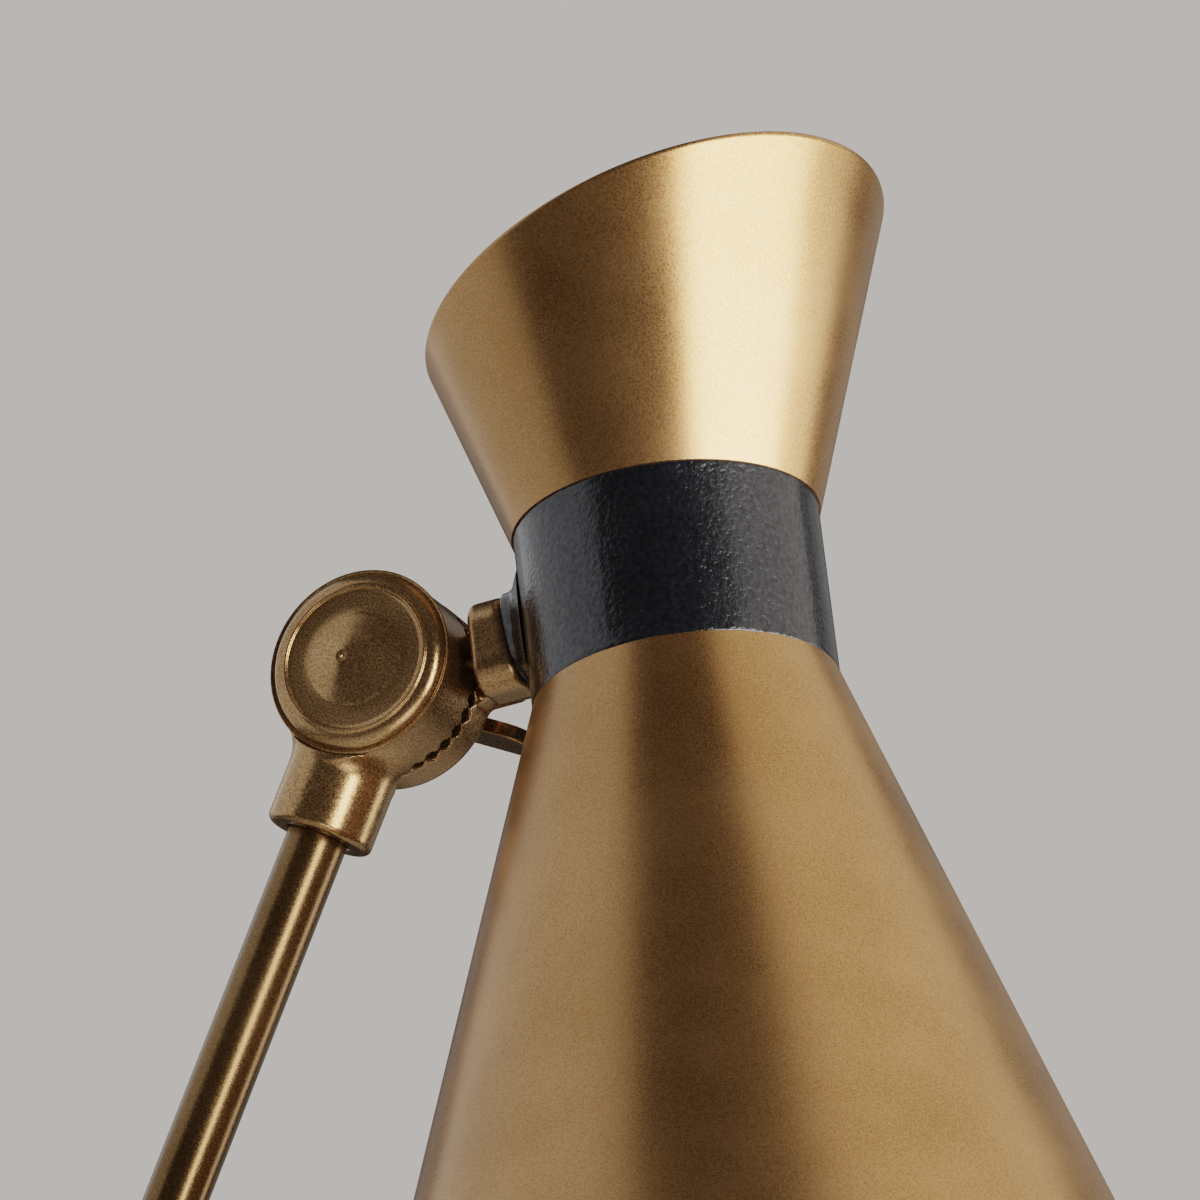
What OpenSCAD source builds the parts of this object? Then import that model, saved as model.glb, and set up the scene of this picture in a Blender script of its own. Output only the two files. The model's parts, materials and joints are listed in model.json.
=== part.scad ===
// Tripod floor lamp with a tilting hourglass shade.
// One long leaning pole is both the rear leg and the mast; two more legs splay forward from a hub.
// +Z is up, +X points the way the mast leans and Y runs along the knuckle's pivot.
// The origin is on the floor, at the middle of the footprint's bounding box.

/* [Stance] */
// Height of the knuckle's pivot above the floor
pivot_h = 1400; // [1200:10:1500]
// Lean of the mast from upright, in degrees
mast_lean = 22.65; // [18:0.05:26]
// Height at which the legs meet the mast
hub_h = 700; // [600:10:800]
// Forward reach of each front leg, from the hub to its foot
leg_reach = 310; // [290:5:360]
// Sideways reach of each front leg, from the hub to its foot
leg_spread = 270; // [220:5:320]

/* [Tubes] */
// Outside diameter of the mast and legs
tube_d = 12.7; // [12:0.1:13.5]
// Wall thickness of the mast and legs
tube_wall = 1.2; // [0.9:0.1:1.6]
// Diameter of the rubber foot tips
tip_d = 19; // [17:0.5:24]
// Length of tube that each foot tip covers
tip_cover = 20; // [14:1:30]

/* [Shade] */
// Outside diameter of the neck between the two cones
neck_d = 62.5; // [62:0.5:66]
// Length of the black collar above the stem's axis
collar_above = 16.2; // [15.5:0.1:20]
// Length of the black collar below the stem's axis
collar_below = 21.2; // [20.5:0.1:26]
// How far the upper cone's lower edge stands proud of the collar
upper_lip = 0.5; // [0:0.1:1]
// Half angle of the upper cone, in degrees
upper_flare = 17.4; // [12:0.1:22]
// Length of the upper cone on its axis
upper_len = 53.6; // [46:0.2:66]
// Slope of the upper cone's cut rim, in degrees
rim_slope = 15.1; // [0:0.1:18]
// Half angle of the lower cone, in degrees
lower_flare = 18.4; // [16:0.1:22]
// Length of the lower cone on its axis
lower_len = 185; // [150:1:190]
// Lean of the shade from upright at rest, in degrees
shade_lean = 6.7; // [0:0.1:12]
// Sheet thickness of the cones
sheet = 1; // [0.8:0.1:1.2]

/* [Knuckle] */
// Distance from the pivot to the shade's axis
neck_reach = 66; // [65:0.5:70]
// Diameter of the knuckle
knuckle_d = 40; // [38:0.5:41]
// Depth of the front half ahead of the mast's axis
front_depth = 9.8; // [9.4:0.1:12]
// Depth of the toothed seam behind the mast's axis
seam_y = 4; // [3.5:0.1:4.2]
// Gap between the tooth crests when the knuckle is eased
crest_gap = 0.3; // [0.3:0.05:0.5]
// Thickness of the rear disc
rear_depth = 9.2; // [8.6:0.1:10]
// Number of teeth round the seam
tooth_count = 34; // [24:1:36]
// Depth of each tooth
tooth_depth = 1.3; // [0.8:0.1:1.5]
// Diameter of the socket that grips the mast
stub_d = 22.5; // [19:0.5:24]
// Length of that socket from the pivot
stub_len = 35.5; // [32:0.1:38]

/* [Stem] */
// Height of the stem that carries the shade
stem_h = 19.5; // [18:0.5:22]
// Thickness of the stem ahead of the mast's axis
stem_front = 7.7; // [7:0.1:8.5]
// Thickness of the stem behind the mast's axis
stem_back = 9.2; // [9:0.1:10]
// Corner radius of the stem
stem_corner = 5; // [3:0.5:6]
// Distance from the pivot to the stem's near end
stem_start = 23; // [22.5:0.5:25]
// Distance from the pivot to the collar's flat pad
stem_end = 31.3; // [31:0.1:32]

/* [Fasteners] */
// Diameter of the pivot bolt
bolt_d = 6; // [5:0.5:6]
// Turning clearance round the pivot bolt and switch shaft, on the radius
run_gap = 0.06; // [0.03:0.01:0.1]
// Reach of each ear of the wing nut from the pivot
ear_reach = 28; // [24:0.5:29]
// Thickness of each ear
ear_t = 3; // [2:0.2:3.6]

/* [Lamp holder] */
// Diameter of the lamp holder
holder_d = 39; // [37:0.5:42]
// Diameter of the bulb's globe
bulb_d = 60; // [50:1:62]
// Distance from the bulb's base to the end of its globe
bulb_len = 80; // [70:1:90]
// Diameter of the switch knob
knob_d = 18; // [14:0.5:22]

/* [Wiring] */
// Diameter of the inner two-core wire
wire_d = 2.6; // [2:0.2:2.8]
// Diameter of the cord inlet's bore
inlet_bore = 5.6; // [5:0.2:6]
// Distance from the floor to the cord inlet, along the mast
inlet_up = 58; // [50:1:120]

/* [Hidden] */
$fn = 96;
EPS = 0.02;
tube_r = tube_d / 2;
tube_bore = tube_r - tube_wall;
slip = 0.05;
socket_r = tube_r + slip;
knuckle_r = knuckle_d / 2;
front_face = seam_y - crest_gap / 2;
rear_face = seam_y + crest_gap / 2;
rear_back = rear_face + rear_depth;
neck_r = neck_d / 2;
collar_bore = neck_r - 1.2;
spigot = 4;
lower_mouth_r = neck_r + lower_len * tan(lower_flare);
bead_r = 1.1;
mast_len = pivot_h / cos(mast_lean);
mast_run = pivot_h * tan(mast_lean);
hub_along = (pivot_h - hub_h) / cos(mast_lean);
hub_run = (pivot_h - hub_h) * tan(mast_lean);
tip_r = tip_d / 2;
shade_front = (neck_reach + lower_mouth_r) * cos(shade_lean)
    + (collar_below + lower_len) * sin(shade_lean) + bead_r / 2;
pivot_x = (mast_run + tip_r / cos(mast_lean) - shade_front) / 2;
leg_len = norm([leg_reach, leg_spread, hub_h]);
leg_swing = atan2(leg_spread, leg_reach);
leg_splay = acos(hub_h / leg_len);
leg_start = 27;
boss_len = 58;
boss_r = 10.3;
hub_r = 14;
hub_half = 36;
hub_stop = 8;
bolt_r = bolt_d / 2;
washer_t = 1.2;
spring_t = 1.2;
nut_y = rear_back + washer_t + spring_t + 0.1;
wire_y = 6.3;
wire_r = wire_d / 2;
wire_slot = [7.6, 12.8];
screw_y = -1.2;
screw_z = 5;
bridge_z = 9;
bridge_t = 2;
bridge_w = 16;
bridge_r = collar_bore - 0.05;
tab_t = 1.6;
holder_r = holder_d / 2;
cap_low = -8;
body_low = -50;
shaft_r = 2.5;
knob_z = 19;
base_r = 13.2;
base_top = -22;
base_low = -46;
GOLD = [0.62, 0.50, 0.33];
BRONZE = [0.47, 0.37, 0.24];
BLACK = [0.09, 0.09, 0.10];
STEEL = [0.70, 0.70, 0.72];
RUBBER = [0.07, 0.07, 0.07];
IVORY = [0.88, 0.86, 0.80];

// ---- Places ----

// The pivot, with the world's axes
module at_pivot() {
    translate([pivot_x, 0, pivot_h])
        children();
}

// The mast's frame: the pivot is its origin and +Z runs up the mast
module at_mast() {
    at_pivot()
        rotate([0, mast_lean, 0])
            children();
}

// The head's frame: the pivot is its origin, +X runs along the stem and +Z up the shade
module at_head() {
    at_pivot()
        rotate([0, -shade_lean, 0])
            children();
}

// The shade's frame: as the head's, with its origin on the shade's axis
module at_shade() {
    at_head()
        translate([neck_reach, 0, 0])
            children();
}

// The hub's frame, on the mast's axis with the world's axes
module at_hub() {
    translate([pivot_x - hub_run, 0, hub_h])
        children();
}

// A front leg's frame: +Z runs down the leg; side is 1 on the left and -1 on the right
module at_leg(side) {
    at_hub()
        rotate([0, 0, side * leg_swing])
            rotate([0, 180 - leg_splay, 0])
                children();
}

// ---- Shared shapes ----

// A cylinder along Y from y0 to y1
module y_cylinder(y0, y1, r1, r2) {
    translate([0, y0, 0])
        rotate([-90, 0, 0])
            cylinder(h = y1 - y0, r1 = r1, r2 = r2);
}

// A cylinder along X from x0 to x1
module x_cylinder(x0, x1, r) {
    translate([x0, 0, 0])
        rotate([0, 90, 0])
            cylinder(h = x1 - x0, r = r);
}

// A hollow cylinder along Z
module tube(z0, z1, outer, inner) {
    translate([0, 0, z0])
        difference() {
            cylinder(h = z1 - z0, r = outer);
            translate([0, 0, -EPS])
                cylinder(h = z1 - z0 + 2 * EPS, r = inner);
        }
}

// A flat rectangle with round corners, from corner p to corner q
module rounded_plate(p, q, r) {
    translate([p[0] + r, p[1]])
        square([q[0] - p[0] - 2 * r, q[1] - p[1]]);
    translate([p[0], p[1] + r])
        square([q[0] - p[0], q[1] - p[1] - 2 * r]);
    for (x = [p[0] + r, q[0] - r])
        for (y = [p[1] + r, q[1] - r])
            translate([x, y])
                circle(r = r);
}

// A bar along X with round edges; grow widens it all round
module stem_bar(x0, x1, grow) {
    translate([x0, 0, 0])
        rotate([0, 90, 0])
            linear_extrude(height = x1 - x0)
                rounded_plate([-stem_h / 2 - grow, -stem_front - grow],
                    [stem_h / 2 + grow, stem_back + grow], stem_corner);
}

// A crown of teeth that stand on the plane y and point along Y by dir, 1 or -1, the first at angle turn
module tooth_crown(y, dir, turn) {
    root = 1.25;
    crest = 0.35;
    crown_r = 14.6;
    for (i = [0 : tooth_count - 1])
        rotate([0, turn + i * 360 / tooth_count, 0])
            translate([crown_r, y, 0])
                rotate([90, 0, 90])
                    linear_extrude(height = knuckle_r - 0.15 - crown_r)
                        polygon([[-dir * 0.3, -root], [dir * tooth_depth, -crest],
                            [dir * tooth_depth, crest], [-dir * 0.3, root]]);
}

// The holes for the stem's screws and the wire, along X
module stem_holes(x0, x1, r) {
    for (z = [-screw_z, screw_z])
        translate([0, screw_y, z])
            x_cylinder(x0, x1, r);
}

// Rings of a round tube along a route, joined into one closed solid
function ring_frame(route, i) =
    let (a = route[max(i - 1, 0)], b = route[min(i + 1, len(route) - 1)])
    let (t = (b - a) / norm(b - a), s = cross(t, abs(t[1]) < 0.9 ? [0, 1, 0] : [1, 0, 0]))
    [s / norm(s), cross(t, s / norm(s))];
module swept_wire(route, r, sides) {
    count = len(route);
    points = [for (i = [0 : count - 1])
        let (f = ring_frame(route, i))
        for (k = [0 : sides - 1])
            route[i] + r * (cos(360 * k / sides) * f[0] + sin(360 * k / sides) * f[1])];
    walls = [for (i = [0 : count - 2])
        for (k = [0 : sides - 1])
            let (n = (k + 1) % sides)
            each [
                [i * sides + k, i * sides + n, (i + 1) * sides + n],
                [i * sides + k, (i + 1) * sides + n, (i + 1) * sides + k]]];
    first_cap = [for (k = [sides - 1 : -1 : 0]) k];
    last_cap = [for (k = [0 : sides - 1]) (count - 1) * sides + k];
    polyhedron(points = points, faces = concat([first_cap], walls, [last_cap]));
}

// ---- Shade ----

// A cone of sheet that starts at z0, runs up (dir 1) or down (dir -1), and plugs into the collar
module cone_shell(z0, dir, base_r, slope, reach) {
    plug = [collar_bore - sheet, collar_bore - slip];
    far_r = base_r + slope * reach;
    rotate_extrude()
        polygon([[plug[0], z0 - dir * spigot], [plug[1], z0 - dir * spigot], [plug[1], z0],
            [base_r, z0], [far_r, z0 + dir * reach], [far_r - sheet, z0 + dir * reach],
            [base_r - sheet + slope * sheet, z0 + dir * sheet], [plug[0], z0 + dir * sheet]]);
}

module shade_upper_cone() {
    color(GOLD)
        at_shade()
            difference() {
                cone_shell(collar_above, 1, neck_r + upper_lip, tan(upper_flare), upper_len + 40);
                translate([0, 0, collar_above + upper_len])
                    rotate([0, -rim_slope, 0])
                        translate([-100, -100, 0])
                            cube([200, 200, 120]);
            }
}

module neck_collar() {
    pad_x = stem_end - neck_reach;
    color(BLACK)
        at_shade()
            difference() {
                union() {
                    translate([0, 0, -collar_below])
                        cylinder(h = collar_above + collar_below, r = neck_r);
                    stem_bar(pad_x, pad_x + 12, 0.5);
                }
                translate([0, 0, -collar_below - EPS])
                    cylinder(h = collar_above + collar_below + 2 * EPS, r = collar_bore);
                stem_holes(pad_x - EPS, -20, 2.1);
                translate([0, wire_y, 0])
                    x_cylinder(pad_x - EPS, -20, 2.2);
            }
}

module shade_lower_cone() {
    color(GOLD)
        at_shade() {
            cone_shell(-collar_below, -1, neck_r, tan(lower_flare), lower_len);
            translate([0, 0, bead_r / 2 - collar_below - lower_len])
                rotate_extrude()
                    translate([lower_mouth_r - sheet / 2, 0])
                        circle(r = bead_r, $fn = 24);
        }
}

// ---- Lamp holder ----

module socket_bridge() {
    color(STEEL)
        at_shade()
            difference() {
                union() {
                    intersection() {
                        translate([-bridge_r, -bridge_w / 2, bridge_z])
                            cube([2 * bridge_r, bridge_w, bridge_t]);
                        cylinder(h = 40, r = bridge_r);
                    }
                    intersection() {
                        tube(-12, bridge_z + EPS, bridge_r, bridge_r - tab_t);
                        union() {
                            translate([-40, -bridge_w / 2, -12])
                                cube([40, bridge_w + 3, 30]);
                            translate([0, -bridge_w / 2, -1])
                                cube([40, bridge_w, 20]);
                        }
                    }
                }
                cylinder(h = 40, r = 5.1);
                stem_holes(-35, -20, 2.1);
                translate([0, wire_y, 0])
                    x_cylinder(-35, -20, 2.2);
            }
}

module stem_screws() {
    head_x = -bridge_r + tab_t + 0.45;
    color(STEEL)
        at_shade()
            for (z = [-screw_z, screw_z])
                translate([0, screw_y, z])
                    difference() {
                        union() {
                            x_cylinder(stem_start + 1.5 - neck_reach, head_x, 2);
                            x_cylinder(head_x, head_x + 2.2, 3.6);
                        }
                        translate([head_x + 1.2, -0.5, -4])
                            cube([2, 1, 8]);
                    }
}

module socket_nipple() {
    color(STEEL)
        at_shade()
            tube(3.4, 17, 5, shaft_r + run_gap);
}

module hex_nut(z, h, across, bore) {
    translate([0, 0, z])
        difference() {
            cylinder(h = h, r = across / 2 / cos(30), $fn = 6);
            translate([0, 0, -EPS])
                cylinder(h = h + 2 * EPS, r = bore);
        }
}

module nipple_nuts() {
    color(STEEL)
        at_shade() {
            hex_nut(bridge_z + bridge_t, 3, 14, 5);
            hex_nut(bridge_z - 2.2, 2.2, 14, 5);
        }
}

module socket_cap() {
    top = bridge_z - 2.2;
    color(BLACK)
        at_shade()
            difference() {
                union() {
                    translate([0, 0, cap_low])
                        cylinder(h = top - cap_low - 3, r = holder_r);
                    translate([0, 0, top - 3])
                        cylinder(h = 3, r1 = holder_r, r2 = holder_r - 4);
                }
                translate([0, 0, cap_low - EPS])
                    cylinder(h = top - cap_low - 3, r = holder_r - 1.8);
                cylinder(h = 40, r = 5);
                translate([0, wire_y, 0])
                    x_cylinder(-30, -10, 1.8);
            }
}

module rotary_switch() {
    color(IVORY)
        at_shade()
            difference() {
                union() {
                    tube(-6.5, 3.3, 12.5, shaft_r + run_gap);
                    translate([0, 0, -8])
                        cylinder(h = 1.6, r = 15);
                }
                translate([0, 0, -5])
                    cylinder(h = 20, r = shaft_r + run_gap);
                translate([0, wire_y, 0])
                    x_cylinder(-20, -8.6, 1.9);
            }
}

module socket_body() {
    color(BLACK)
        at_shade()
            difference() {
                union() {
                    translate([0, 0, body_low])
                        cylinder(h = cap_low - body_low, r = holder_r);
                    translate([0, 0, body_low + 10])
                        rotate_extrude()
                            translate([holder_r, 0])
                                circle(r = 1.2, $fn = 24);
                }
                translate([0, 0, body_low - EPS])
                    cylinder(h = cap_low - body_low - 6, r = 15.4);
                translate([0, 0, -15])
                    cylinder(h = 20, r = 3);
            }
}

module screw_shell() {
    color([0.80, 0.66, 0.36])
        at_shade()
            difference() {
                union() {
                    tube(-43, -18, 14.5, 13.6);
                    for (z = [-40 : 3.6 : -22])
                        translate([0, 0, z])
                            rotate_extrude()
                                translate([14.4, 0])
                                    circle(r = 0.6, $fn = 16);
                    tube(-18, -17.2, 14.5, 6.5);
                }
                translate([0, 0, -44])
                    cylinder(h = 26, r = 13.6);
            }
}

module centre_contact() {
    color([0.80, 0.66, 0.36])
        at_shade() {
            translate([0, 0, -14.7])
                cylinder(h = 3, r = 2.6);
            translate([-2, -4, -15.6])
                cube([4, 10, 0.9]);
            translate([-2, 4, -17.4])
                cube([4, 0.9, 2.2]);
            translate([-2, -3, -17.7])
                cube([4, 7.9, 0.7]);
        }
}

module switch_knob() {
    grip_h = 12;
    color(BLACK)
        at_shade()
            difference() {
                union() {
                    translate([0, 0, -4])
                        cylinder(h = knob_z + 6, r = shaft_r);
                    translate([0, 0, knob_z])
                        cylinder(h = grip_h - 1.5, r = knob_d / 2);
                    translate([0, 0, knob_z + grip_h - 1.5])
                        cylinder(h = 1.5, r1 = knob_d / 2, r2 = knob_d / 2 - 1.5);
                }
                for (a = [0 : 20 : 340])
                    rotate([0, 0, a])
                        translate([knob_d / 2 + 0.5, 0, knob_z - 1])
                            cylinder(h = grip_h + 2, r = 1.1, $fn = 24);
            }
}

module bulb_base() {
    color(STEEL)
        at_shade() {
            translate([0, 0, base_low])
                cylinder(h = base_top - base_low - 2, r = base_r);
            translate([0, 0, base_top - 2])
                cylinder(h = 2, r1 = base_r, r2 = 9);
        }
}

module bulb_tip() {
    color(STEEL)
        at_shade()
            translate([0, 0, base_top])
                cylinder(h = 4.2, r1 = 8, r2 = 4);
}

// Half width of the bulb's glass at a distance down from its base
function glass_r(d) =
    let (globe_r = bulb_d / 2, centre = bulb_len - globe_r)
    d >= centre ? sqrt(max(0, pow(globe_r, 2) - pow(d - centre, 2)))
        : base_r + 0.4 + (globe_r - base_r - 0.4) * pow(sin(90 * d / centre), 2);
module bulb_glass() {
    steps = 28;
    wall = 0.9;
    outer = [for (i = [0 : steps])
        let (d = bulb_len * (1 - pow(1 - i / steps, 1.6)))
        [glass_r(d), -d]];
    inner = [for (i = [steps : -1 : 0])
        let (d = (bulb_len - wall) * (1 - pow(1 - i / steps, 1.6)))
        [max(0, glass_r(d * bulb_len / (bulb_len - wall)) - wall), -d]];
    color([0.95, 0.95, 0.92, 0.6])
        at_shade()
            translate([0, 0, base_low])
                rotate_extrude()
                    polygon(concat(outer, inner));
}

// ---- Knuckle ----

module knuckle_front() {
    color(BRONZE)
        at_mast()
            difference() {
                union() {
                    y_cylinder(-front_depth, front_face - tooth_depth, knuckle_r - 0.4, knuckle_r);
                    y_cylinder(0, front_face - 0.15, 15, 15);
                    tooth_crown(front_face - tooth_depth, 1, 0);
                    translate([0, 0, -stub_len])
                        cylinder(h = stub_len, r = stub_d / 2);
                    translate([0, 0, -stub_len + 1])
                        rotate_extrude()
                            translate([stub_d / 2 - 0.6, 0])
                                circle(r = 1, $fn = 24);
                }
                y_cylinder(-30, -front_depth, 40, 40);
                y_cylinder(front_face, 30, knuckle_r + 2.4, knuckle_r + 2.4);
                y_cylinder(-front_depth - EPS, -2, 14.5, 14.5);
                y_cylinder(-20, 20, bolt_r + run_gap, bolt_r + run_gap);
                translate([0, 0, -stub_len - 2])
                    cylinder(h = 13.5, r = socket_r);
                translate([0, -3.2, 11.3 - stub_len])
                    cylinder(h = stub_len - 18.3, r = 2.9);
                translate([10, 0, 0])
                    y_cylinder(-4, 20, 2.1, 2.1);
                translate([0, 0, -stub_len + 6.5])
                    rotate([90, 0, 180])
                        cylinder(h = 20, r = 2);
            }
}

module knuckle_cap() {
    lip_t = 0.9;
    crown_t = 3.1;
    crown_r = 15.6;
    boss_r1 = 10.1;
    boss_t = 2.8;
    color(BRONZE)
        at_mast()
            rotate([90, 0, 0])
                translate([0, 0, front_depth])
                    rotate_extrude() {
                        square([knuckle_r, lip_t]);
                        square([crown_r, crown_t]);
                        translate([crown_r, 0])
                            intersection() {
                                circle(r = crown_t, $fn = 64);
                                square([crown_t + 1, crown_t + 1]);
                            }
                        translate([crown_r - 0.3, crown_t - 0.2])
                            circle(r = 0.45, $fn = 24);
                        polygon([[0, crown_t - EPS], [boss_r1, crown_t - EPS],
                            [0.7, crown_t + boss_t], [0, crown_t + boss_t]]);
                        translate([13.3, -3.4])
                            square([1, 3.4 + EPS]);
                    }
}

module knuckle_rear() {
    web_y = rear_face + tooth_depth + 0.2;
    color(BRONZE)
        at_head()
            difference() {
                union() {
                    y_cylinder(rear_face + 0.15, rear_face + tooth_depth + 1, 15, 15);
                    tooth_crown(rear_face + tooth_depth, -1, mast_lean + shade_lean);
                    y_cylinder(rear_face + tooth_depth, rear_back - 1.5, knuckle_r, knuckle_r);
                    y_cylinder(rear_back - 1.5, rear_back, knuckle_r, knuckle_r - 1.5);
                    stem_bar(stem_start, stem_end, 0);
                    translate([14, web_y, 1.2 - stem_h / 2])
                        cube([stem_start - 12.5, rear_back - 1 - web_y, stem_h - 2.4]);
                }
                difference() {
                    y_cylinder(0, 9, wire_slot[1], wire_slot[1]);
                    y_cylinder(-1, 10, wire_slot[0], wire_slot[0]);
                }
                y_cylinder(0, 40, 5, 5);
                translate([0, wire_y, 0])
                    x_cylinder(9, 40, 2.2);
                stem_holes(stem_start + 1, 40, 2);
            }
}

module pivot_bush() {
    color([0.72, 0.55, 0.30])
        at_head()
            difference() {
                y_cylinder(rear_face, rear_back, 5, 5);
                y_cylinder(0, 40, bolt_r + run_gap, bolt_r + run_gap);
            }
}

module pivot_bolt() {
    color(STEEL)
        at_mast()
            difference() {
                union() {
                    y_cylinder(-6, -2, 5.4, 5.4);
                    y_cylinder(-2, nut_y + 12, bolt_r, bolt_r);
                    y_cylinder(nut_y + 12, nut_y + 12.8, bolt_r, bolt_r - 0.8);
                }
                translate([0, -4.5, 0])
                    rotate([90, 0, 0])
                        cylinder(h = 4, r = 2.6, $fn = 6);
            }
}

module ring_on_bolt(y0, y1, r, bore) {
    difference() {
        y_cylinder(y0, y1, r, r);
        y_cylinder(y0 - 1, y1 + 1, bore, bore);
    }
}

module flat_washer() {
    color(STEEL)
        at_mast()
            ring_on_bolt(rear_back + 0.05, rear_back + washer_t, 9, bolt_r + run_gap);
}

module spring_washer() {
    color(STEEL)
        at_mast()
            difference() {
                ring_on_bolt(rear_back + washer_t, nut_y - 0.05, 6.2, bolt_r + run_gap);
                translate([0, rear_back, 5])
                    rotate([0, 0, 20])
                        cube([0.8, 8, 6], center = true);
            }
}

module wing_nut() {
    color(BRONZE)
        at_mast()
            difference() {
                union() {
                    y_cylinder(nut_y, nut_y + 8, 7.2, 6);
                    for (a = [0, 180])
                        rotate([0, a, 0])
                            translate([0, 0, -ear_t / 2])
                                linear_extrude(height = ear_t)
                                    rounded_plate([4, nut_y], [ear_reach, nut_y + 14], 4.5);
                }
                y_cylinder(0, 60, bolt_r + run_gap, bolt_r + run_gap);
            }
}

module mast_grub_screw() {
    color(STEEL)
        at_mast()
            translate([0, 0, -stub_len + 6.5])
                rotate([-90, 0, 0])
                    difference() {
                        translate([0, 0, tube_r])
                            cylinder(h = stub_d / 2 - tube_r - 0.3, r = 2);
                        translate([0, 0, stub_d / 2 - 2])
                            cylinder(h = 3, r = 1.1, $fn = 6);
                    }
}

// ---- Mast and tripod ----

module mast_upper() {
    top = -stub_len + 11.5;
    color(GOLD)
        at_mast()
            tube(hub_stop - hub_along, top, tube_r, tube_bore);
}

module mast_lower() {
    color(GOLD)
        at_mast()
            difference() {
                tube(5 - mast_len, -hub_along - hub_stop, tube_r, tube_bore);
                translate([0, 0, inlet_up - mast_len])
                    x_cylinder(-tube_r - 3, 0, 4);
            }
}

module mast_coupler() {
    color(STEEL)
        at_mast()
            tube(-hub_along - 30, -hub_along + 30, tube_bore - slip, 3.4);
}

module tripod_hub() {
    color(BLACK)
        difference() {
            union() {
                at_mast()
                    translate([0, 0, -hub_along]) {
                        translate([0, 0, -hub_half + 2])
                            cylinder(h = 2 * hub_half - 4, r = hub_r);
                        translate([0, 0, hub_half - 2])
                            cylinder(h = 2, r1 = hub_r, r2 = hub_r - 2);
                        translate([0, 0, -hub_half])
                            cylinder(h = 2, r1 = hub_r - 2, r2 = hub_r);
                    }
                for (side = [-1, 1])
                    at_leg(side) {
                        cylinder(h = boss_len - 1.5, r = boss_r);
                        translate([0, 0, boss_len - 1.5])
                            cylinder(h = 1.5, r1 = boss_r, r2 = boss_r - 1.5);
                    }
            }
            at_mast()
                translate([0, 0, -hub_along]) {
                    translate([0, 0, hub_stop])
                        cylinder(h = 60, r = socket_r);
                    translate([0, 0, -60 - hub_stop])
                        cylinder(h = 60, r = socket_r);
                    translate([0, 0, -20])
                        cylinder(h = 40, r = tube_bore);
                    for (z = [-20, 20])
                        translate([0, 0, z])
                            x_cylinder(-20, 0, 2);
                }
            for (side = [-1, 1])
                at_leg(side) {
                    translate([0, 0, leg_start])
                        cylinder(h = 60, r = socket_r);
                    translate([0, 0, boss_len - 9])
                        x_cylinder(-20, 0, 2);
                }
        }
}

// A slotless screw that presses on a tube from its -X side
module side_grub(outer) {
    difference() {
        x_cylinder(-outer + 0.4, -tube_r, 2);
        translate([-outer, 0, 0])
            rotate([0, 90, 0])
                cylinder(h = 1.8, r = 1.1, $fn = 6);
    }
}

module hub_grub_screws() {
    color(STEEL) {
        for (z = [-20, 20])
            at_mast()
                translate([0, 0, z - hub_along])
                    side_grub(hub_r);
        for (side = [-1, 1])
            at_leg(side)
                translate([0, 0, boss_len - 9])
                    side_grub(boss_r);
    }
}

module leg(side) {
    color(GOLD)
        at_leg(side)
            tube(leg_start, leg_len - 5, tube_r, tube_bore);
}
module leg_left() {
    leg(1);
}
module leg_right() {
    leg(-1);
}

// A rubber tip round a tube whose own +Z points to the floor point at z = 0
module tip_round_tube() {
    difference() {
        union() {
            translate([0, 0, -tip_cover - 5])
                cylinder(h = 2, r1 = tip_r - 1.6, r2 = tip_r);
            translate([0, 0, -tip_cover - 3])
                cylinder(h = tip_cover + 16, r = tip_r);
        }
        translate([0, 0, -tip_cover - 6])
            cylinder(h = tip_cover + 1, r = tube_r);
    }
}

module above_floor() {
    intersection() {
        children();
        translate([-800, -800, 0])
            cube([1600, 1600, 200]);
    }
}

module foot_tip_rear() {
    color(RUBBER)
        above_floor()
            translate([pivot_x - mast_run, 0, 0])
                rotate([0, 180 + mast_lean, 0])
                    tip_round_tube();
}

module front_tip(side) {
    color(RUBBER)
        above_floor()
            at_leg(side)
                translate([0, 0, leg_len])
                    tip_round_tube();
}
module foot_tip_left() {
    front_tip(1);
}
module foot_tip_right() {
    front_tip(-1);
}

// ---- Wiring ----

module cord_inlet_bush() {
    color(BLACK)
        at_mast()
            translate([0, 0, inlet_up - mast_len])
                difference() {
                    union() {
                        x_cylinder(-tube_r - 1.6, -tube_bore + 0.6, 3.95);
                        x_cylinder(-tube_r - 3, -tube_r - 0.4, 5.4);
                    }
                    x_cylinder(-tube_r - 4, 0, inlet_bore / 2);
                    difference() {
                        x_cylinder(-tube_r - 0.6, 0, 6);
                        x_cylinder(-tube_r - 1, 1, 3.95);
                    }
                }
}

// The wire from the cord inlet up the mast to the knuckle's seam, in the mast's frame
mast_route = concat(
    [[-2.4, 0, inlet_up - mast_len], [-1.6, 0, inlet_up - mast_len + 3],
        [-0.5, 0, inlet_up - mast_len + 8], [0, 0, inlet_up - mast_len + 16]],
    [for (i = [1 : 12]) [0, 0, inlet_up - mast_len + 16 + i * (mast_len - inlet_up - 56) / 12]],
    [[0, -0.6, -32], [0, -2.2, -24], [0, -3.4, -17], [1, -4.6, -12], [4, -5, -9], [7.5, -5, -6],
        [9.6, -3.8, -2.6], [10, -2, -0.6], [10, 0.5, 0], [10, 3.8, 0]]);
module mast_wire() {
    color(IVORY)
        at_mast()
            swept_wire(mast_route, wire_r, 8);
}

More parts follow.
